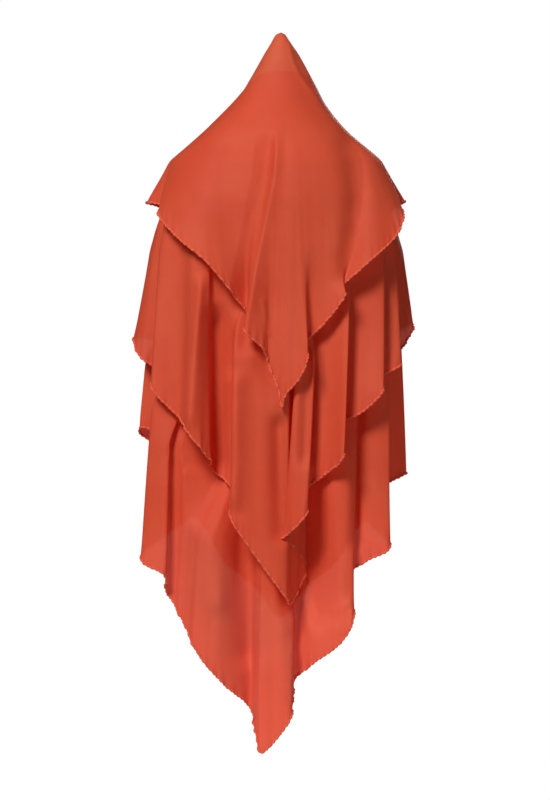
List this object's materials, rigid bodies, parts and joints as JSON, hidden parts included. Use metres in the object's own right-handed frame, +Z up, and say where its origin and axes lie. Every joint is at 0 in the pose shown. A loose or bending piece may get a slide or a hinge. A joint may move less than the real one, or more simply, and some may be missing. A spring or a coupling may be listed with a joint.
{
  "type": "khimar veil",
  "caption": "Long pointed khimar veil of three chiffon tiers under one peaked hood, with rolled hems and an oval face opening, hanging in folds from its peak.",
  "frame": {"origin": "the seat under the peak of the hood, on the inner face of the cloth, where the veil hangs", "axes": "+Z up, +Y the way the wearer faces, +X to the wearer's right"},
  "size_m": [0.5823, 0.3881, 1.5047],
  "materials": {
    "coral_chiffon": "matt sheer chiffon",
    "coral_rolled_hem": "overlocked rolled edge"
  },
  "bodies": {
    "root": {"top_tier": "coral_chiffon", "middle_tier": "coral_chiffon", "bottom_tier": "coral_chiffon", "top_hem": "coral_rolled_hem", "middle_hem": "coral_rolled_hem", "bottom_hem": "coral_rolled_hem", "face_hem": "coral_rolled_hem"}
  },
  "joints": []
}
